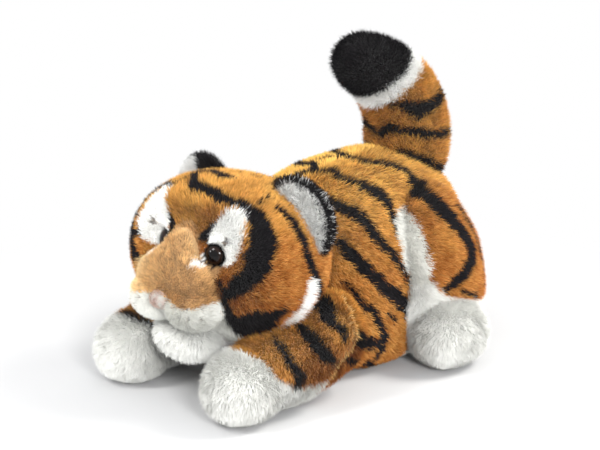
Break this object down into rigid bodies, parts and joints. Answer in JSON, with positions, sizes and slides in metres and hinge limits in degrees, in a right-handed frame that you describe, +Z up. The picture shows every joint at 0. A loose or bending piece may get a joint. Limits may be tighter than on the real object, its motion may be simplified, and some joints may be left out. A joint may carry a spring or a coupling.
{
  "type": "plush tiger",
  "caption": "Plush tiger lying on its belly with raised head, front legs ahead, folded hind legs and a curled-up tail.",
  "frame": {"origin": "centre of the bounding box, at the flat underside that rests on the table", "axes": "+X to the tiger's left, -Y where it looks, +Z up"},
  "size_m": [0.1788, 0.2354, 0.1902],
  "materials": {
    "orange_plush": "long pile",
    "white_plush": "long pile",
    "black_plush": "long pile",
    "tan_plush": "short pile",
    "nose_cloth": "short velour",
    "stuffing": "loose polyester fibre",
    "pellets": "bagged pellets",
    "eye_plastic": "polished",
    "washer_plastic": "moulded"
  },
  "bodies": {
    "torso": {"back_cover": "orange_plush", "belly_panel": "white_plush", "torso_fill": "stuffing", "belly_pellet_bag": "pellets"},
    "neck": {"neck_gusset": "orange_plush"},
    "head": {"head_cover": "orange_plush", "cheek_ruff_left": "white_plush", "cheek_ruff_right": "white_plush", "head_fill": "stuffing", "muzzle_bridge": "tan_plush", "whisker_pad_left": "white_plush", "whisker_pad_right": "white_plush", "chin_pad": "white_plush", "nose": "nose_cloth", "eye_left": "eye_plastic", "eye_right": "eye_plastic", "eye_washer_left": "washer_plastic", "eye_washer_right": "washer_plastic"},
    "ear_left": {"ear_front_left": "white_plush", "ear_back_left": "black_plush"},
    "ear_right": {"ear_front_right": "white_plush", "ear_back_right": "black_plush"},
    "front_leg_left": {"front_leg_sleeve_left": "orange_plush", "front_leg_underside_left": "white_plush", "front_paw_cover_left": "white_plush", "front_leg_fill_left": "stuffing", "front_paw_pellets_left": "pellets"},
    "front_leg_right": {"front_leg_sleeve_right": "orange_plush", "front_leg_underside_right": "white_plush", "front_paw_cover_right": "white_plush", "front_leg_fill_right": "stuffing", "front_paw_pellets_right": "pellets"},
    "hind_leg_left": {"thigh_cover_left": "orange_plush", "inner_thigh_panel_left": "white_plush", "hind_foot_cover_left": "white_plush", "thigh_fill_left": "stuffing", "hind_foot_pellets_left": "pellets"},
    "hind_leg_right": {"thigh_cover_right": "orange_plush", "inner_thigh_panel_right": "white_plush", "hind_foot_cover_right": "white_plush", "thigh_fill_right": "stuffing", "hind_foot_pellets_right": "pellets"},
    "tail": {"tail_sleeve": "orange_plush", "tail_fill": "stuffing"},
    "tail_end": {"tail_ring": "white_plush", "tail_tip": "black_plush", "tail_tip_fill": "stuffing"}
  },
  "joints": [
    {"name": "head_nod", "type": "hinge", "parent": "torso", "child": "neck", "pos_m": [0, -0.00325, 0.066], "axis": [-1, 0, 0], "range_deg": [0, 12], "stiffness_Nm_per_rad": 0.4},
    {"name": "head_turn", "type": "hinge", "parent": "neck", "child": "head", "pos_m": [0, -0.00325, 0.066], "axis": [0, 0, 1], "range_deg": [-8, 8], "stiffness_Nm_per_rad": 0.3},
    {"name": "ear_left_fold", "type": "hinge", "parent": "head", "child": "ear_left", "pos_m": [0.037, -0.04325, 0.1035], "axis": [0.6063, 0.1069, -0.788], "range_deg": [-20, 30], "stiffness_Nm_per_rad": 0.02},
    {"name": "ear_right_fold", "type": "hinge", "parent": "head", "child": "ear_right", "pos_m": [-0.037, -0.04325, 0.1035], "axis": [0.6063, -0.1069, 0.788], "range_deg": [-20, 30], "stiffness_Nm_per_rad": 0.02},
    {"name": "front_leg_left_splay", "type": "hinge", "parent": "torso", "child": "front_leg_left", "pos_m": [0.05, -0.03325, 0.036], "axis": [0, 0, 1], "range_deg": [0, 25], "stiffness_Nm_per_rad": 0.2},
    {"name": "front_leg_right_splay", "type": "hinge", "parent": "torso", "child": "front_leg_right", "pos_m": [-0.05, -0.03325, 0.036], "axis": [0, 0, -1], "range_deg": [0, 25], "stiffness_Nm_per_rad": 0.2},
    {"name": "hind_leg_left_splay", "type": "hinge", "parent": "torso", "child": "hind_leg_left", "pos_m": [0.044, 0.09675, 0.05], "axis": [0, 0, 1], "range_deg": [0, 18], "stiffness_Nm_per_rad": 0.2},
    {"name": "hind_leg_right_splay", "type": "hinge", "parent": "torso", "child": "hind_leg_right", "pos_m": [-0.044, 0.09675, 0.05], "axis": [0, 0, -1], "range_deg": [0, 18], "stiffness_Nm_per_rad": 0.2},
    {"name": "tail_swing", "type": "hinge", "parent": "torso", "child": "tail", "pos_m": [0, 0.08875, 0.107], "axis": [0, 1, 0], "range_deg": [-20, 20], "stiffness_Nm_per_rad": 0.2},
    {"name": "tail_tip_bend", "type": "hinge", "parent": "tail", "child": "tail_end", "pos_m": [0, 0.07726, 0.15524], "axis": [1, 0, 0], "range_deg": [-20, 20], "stiffness_Nm_per_rad": 0.1}
  ]
}
